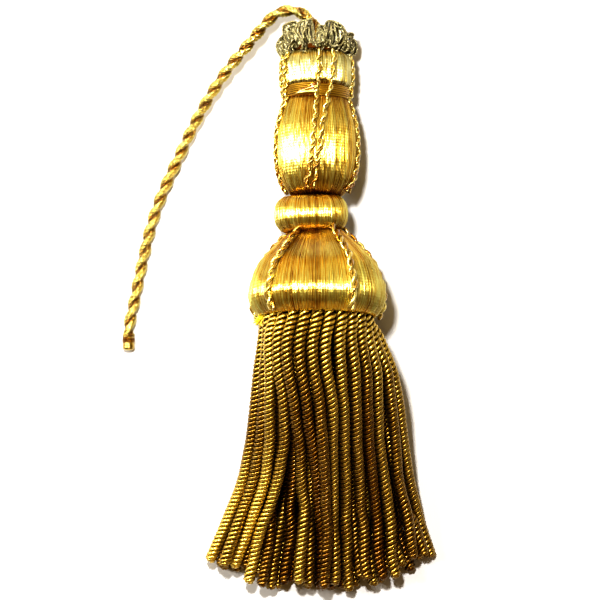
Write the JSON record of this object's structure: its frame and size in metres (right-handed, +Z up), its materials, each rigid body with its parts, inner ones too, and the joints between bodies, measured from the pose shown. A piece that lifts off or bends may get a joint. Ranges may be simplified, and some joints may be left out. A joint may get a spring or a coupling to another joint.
{
  "type": "bullion tassel",
  "caption": "Gold bullion tassel lying on its side: bell, ring, vase and barrel wound in floss, with gimp ribs, a ruff, a skirt of coiled strands and a twisted hanging cord.",
  "frame": {"origin": "the flat spot under the bell, where the head rests on the surface", "axes": "+Y along the tassel from the skirt to the ruff, +X across it to the right as seen from above, +Z up from the surface"},
  "size_m": [0.0529, 0.0983, 0.0225],
  "materials": {
    "floss": "bright gold floss wound lengthwise",
    "whipping": "orange-gold thread wound tightly",
    "rib_gimp": "thin twisted metal gimp",
    "ruff_gimp": "dull silver-gold crinkled gimp",
    "bullion": "olive-bronze coiled wire",
    "cord": "two-ply twisted gold cord"
  },
  "bodies": {
    "root": {"bell": "floss", "ring_collar": "floss", "bulb": "floss", "neck_barrel": "floss", "waist_band": "whipping", "cord_tip": "whipping", "bulb_rib_front_first": "rib_gimp", "bulb_rib_front_second": "rib_gimp", "bulb_rib_right_first": "rib_gimp", "bulb_rib_right_second": "rib_gimp", "bulb_rib_back_first": "rib_gimp", "bulb_rib_back_second": "rib_gimp", "bulb_rib_left_first": "rib_gimp", "bulb_rib_left_second": "rib_gimp", "bell_rib_1": "rib_gimp", "bell_rib_2": "rib_gimp", "bell_rib_3": "rib_gimp", "bell_rib_4": "rib_gimp", "bell_rib_5": "rib_gimp", "ruff": "ruff_gimp", "skirt": "bullion", "hang_cord": "cord"}
  },
  "joints": []
}
